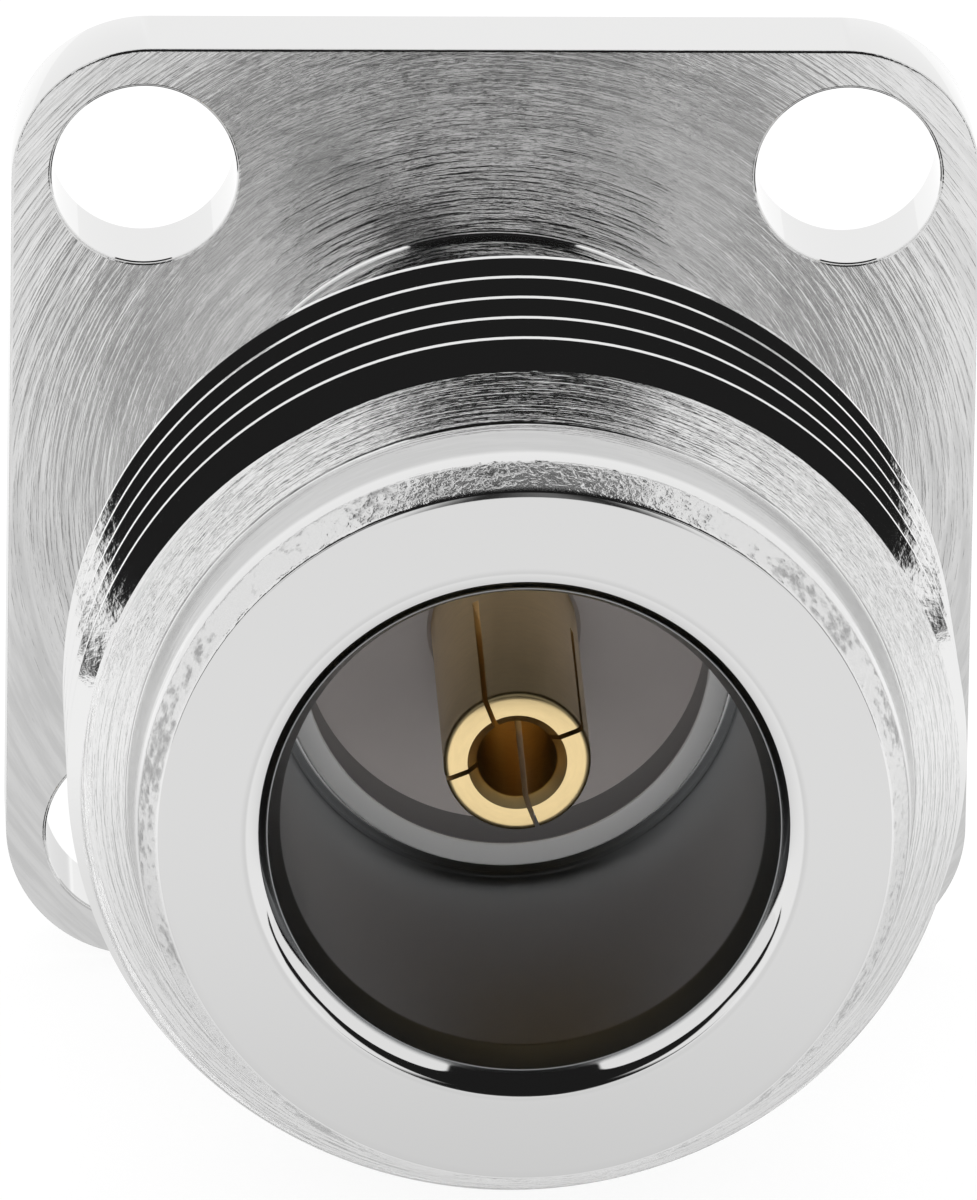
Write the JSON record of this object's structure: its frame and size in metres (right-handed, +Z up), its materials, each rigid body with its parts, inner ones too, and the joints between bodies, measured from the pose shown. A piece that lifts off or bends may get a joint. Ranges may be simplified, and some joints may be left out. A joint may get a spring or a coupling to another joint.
{
  "type": "n type connector",
  "caption": "Panel-mount coaxial N jack: square flange with corner screw holes, slim neck, threaded barrel, gold spring socket contact and rear solder cup.",
  "frame": {"origin": "on the connector's axis, at the flange's rear face, which seats on the panel", "axes": "+Y along the axis out of the rear face, so the nose points to -Y; +Z up, square to the flange's edge"},
  "size_m": [0.0176, 0.0223, 0.0176],
  "materials": {
    "nickel_plate": "bright nickel plate over turned brass",
    "ptfe": "satin machined PTFE",
    "gold_plate": "gold plate over turned copper alloy"
  },
  "bodies": {
    "root": {"body": "nickel_plate", "front_insulator": "ptfe", "rear_insulator": "ptfe", "centre_contact": "gold_plate"}
  },
  "joints": []
}
